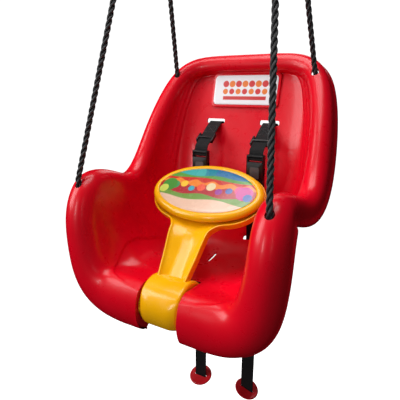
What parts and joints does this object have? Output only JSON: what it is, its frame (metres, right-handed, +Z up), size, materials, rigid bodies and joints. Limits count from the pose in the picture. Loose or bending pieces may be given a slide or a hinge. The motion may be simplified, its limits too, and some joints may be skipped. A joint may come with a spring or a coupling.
{
  "type": "toddler bucket swing",
  "caption": "Toddler bucket swing: moulded bucket seat with a hinged T-bar, buckled harness straps and rope hangers that meet in two rings.",
  "frame": {"origin": "on the swing axis, midway between the lowest wires of the two hanger rings", "axes": "+Z up, the child faces -Y, +X to the right seen from the front; the swing axis runs along X"},
  "size_m": [0.395, 0.3694, 1.0845],
  "materials": {
    "red_shell": "glossy moulded polyethylene",
    "yellow_tbar": "glossy moulded polyethylene",
    "label": "printed vinyl label",
    "tray_picture": "printed glossy label",
    "black_rope": "three-strand twisted polypropylene",
    "webbing": "woven webbing",
    "buckle_plastic": "acetal, fine texture",
    "red_disc": "moulded plastic",
    "pin_steel": "zinc plated",
    "ring_steel": "zinc plated, welded",
    "bush_nylon": "natural nylon",
    "screws": "zinc plated"
  },
  "bodies": {
    "hanger": {"hanger_ring_left": "ring_steel", "hanger_ring_right": "ring_steel"},
    "seat": {"seat_shell": "red_shell", "back_label": "label", "hinge_pin": "pin_steel", "hinge_bush_left": "bush_nylon", "hinge_pin_cap_left": "pin_steel", "rope_left": "black_rope", "rope_knot_front_left": "black_rope", "rope_knot_rear_left": "black_rope", "shoulder_strap_left": "webbing", "shoulder_strap_disc_left": "red_disc", "buckle_socket_left": "buckle_plastic", "hinge_bush_right": "bush_nylon", "hinge_pin_cap_right": "pin_steel", "rope_right": "black_rope", "rope_knot_front_right": "black_rope", "rope_knot_rear_right": "black_rope", "shoulder_strap_right": "webbing", "shoulder_strap_disc_right": "red_disc", "buckle_socket_right": "buckle_plastic"},
    "tbar": {"tbar_frame": "yellow_tbar", "tbar_tray": "yellow_tbar", "tbar_tray_label": "tray_picture", "tbar_screws": "screws", "tbar_knuckle": "yellow_tbar"},
    "hip_strap_left": {"buckle_tongue_left": "buckle_plastic", "hip_strap_left": "webbing", "hip_strap_disc_left": "red_disc"},
    "hip_strap_right": {"buckle_tongue_right": "buckle_plastic", "hip_strap_right": "webbing", "hip_strap_disc_right": "red_disc"},
    "adjuster_left": {"strap_adjuster_left": "buckle_plastic"},
    "adjuster_right": {"strap_adjuster_right": "buckle_plastic"}
  },
  "joints": [
    {"name": "swing", "type": "hinge", "parent": "hanger", "child": "seat", "pos_m": [0, 0, 0], "axis": [1, 0, 0], "range_deg": [-50, 50]},
    {"name": "tbar_hinge", "type": "hinge", "parent": "seat", "child": "tbar", "pos_m": [0, -0.1272, -0.711], "axis": [1, 0, 0], "range_deg": [0, 110]},
    {"name": "buckle_left", "type": "slide", "parent": "seat", "child": "hip_strap_left", "axis": [0, 0, -1], "range_m": [0, 0.07]},
    {"name": "buckle_right", "type": "slide", "parent": "seat", "child": "hip_strap_right", "axis": [0, 0, -1], "range_m": [0, 0.07]},
    {"name": "adjuster_slide_left", "type": "slide", "parent": "seat", "child": "adjuster_left", "axis": [0, 0.8192, 0.5735], "range_m": [-0.004, 0.02]},
    {"name": "adjuster_slide_right", "type": "slide", "parent": "seat", "child": "adjuster_right", "axis": [0, 0.8192, 0.5735], "range_m": [-0.004, 0.02]}
  ]
}
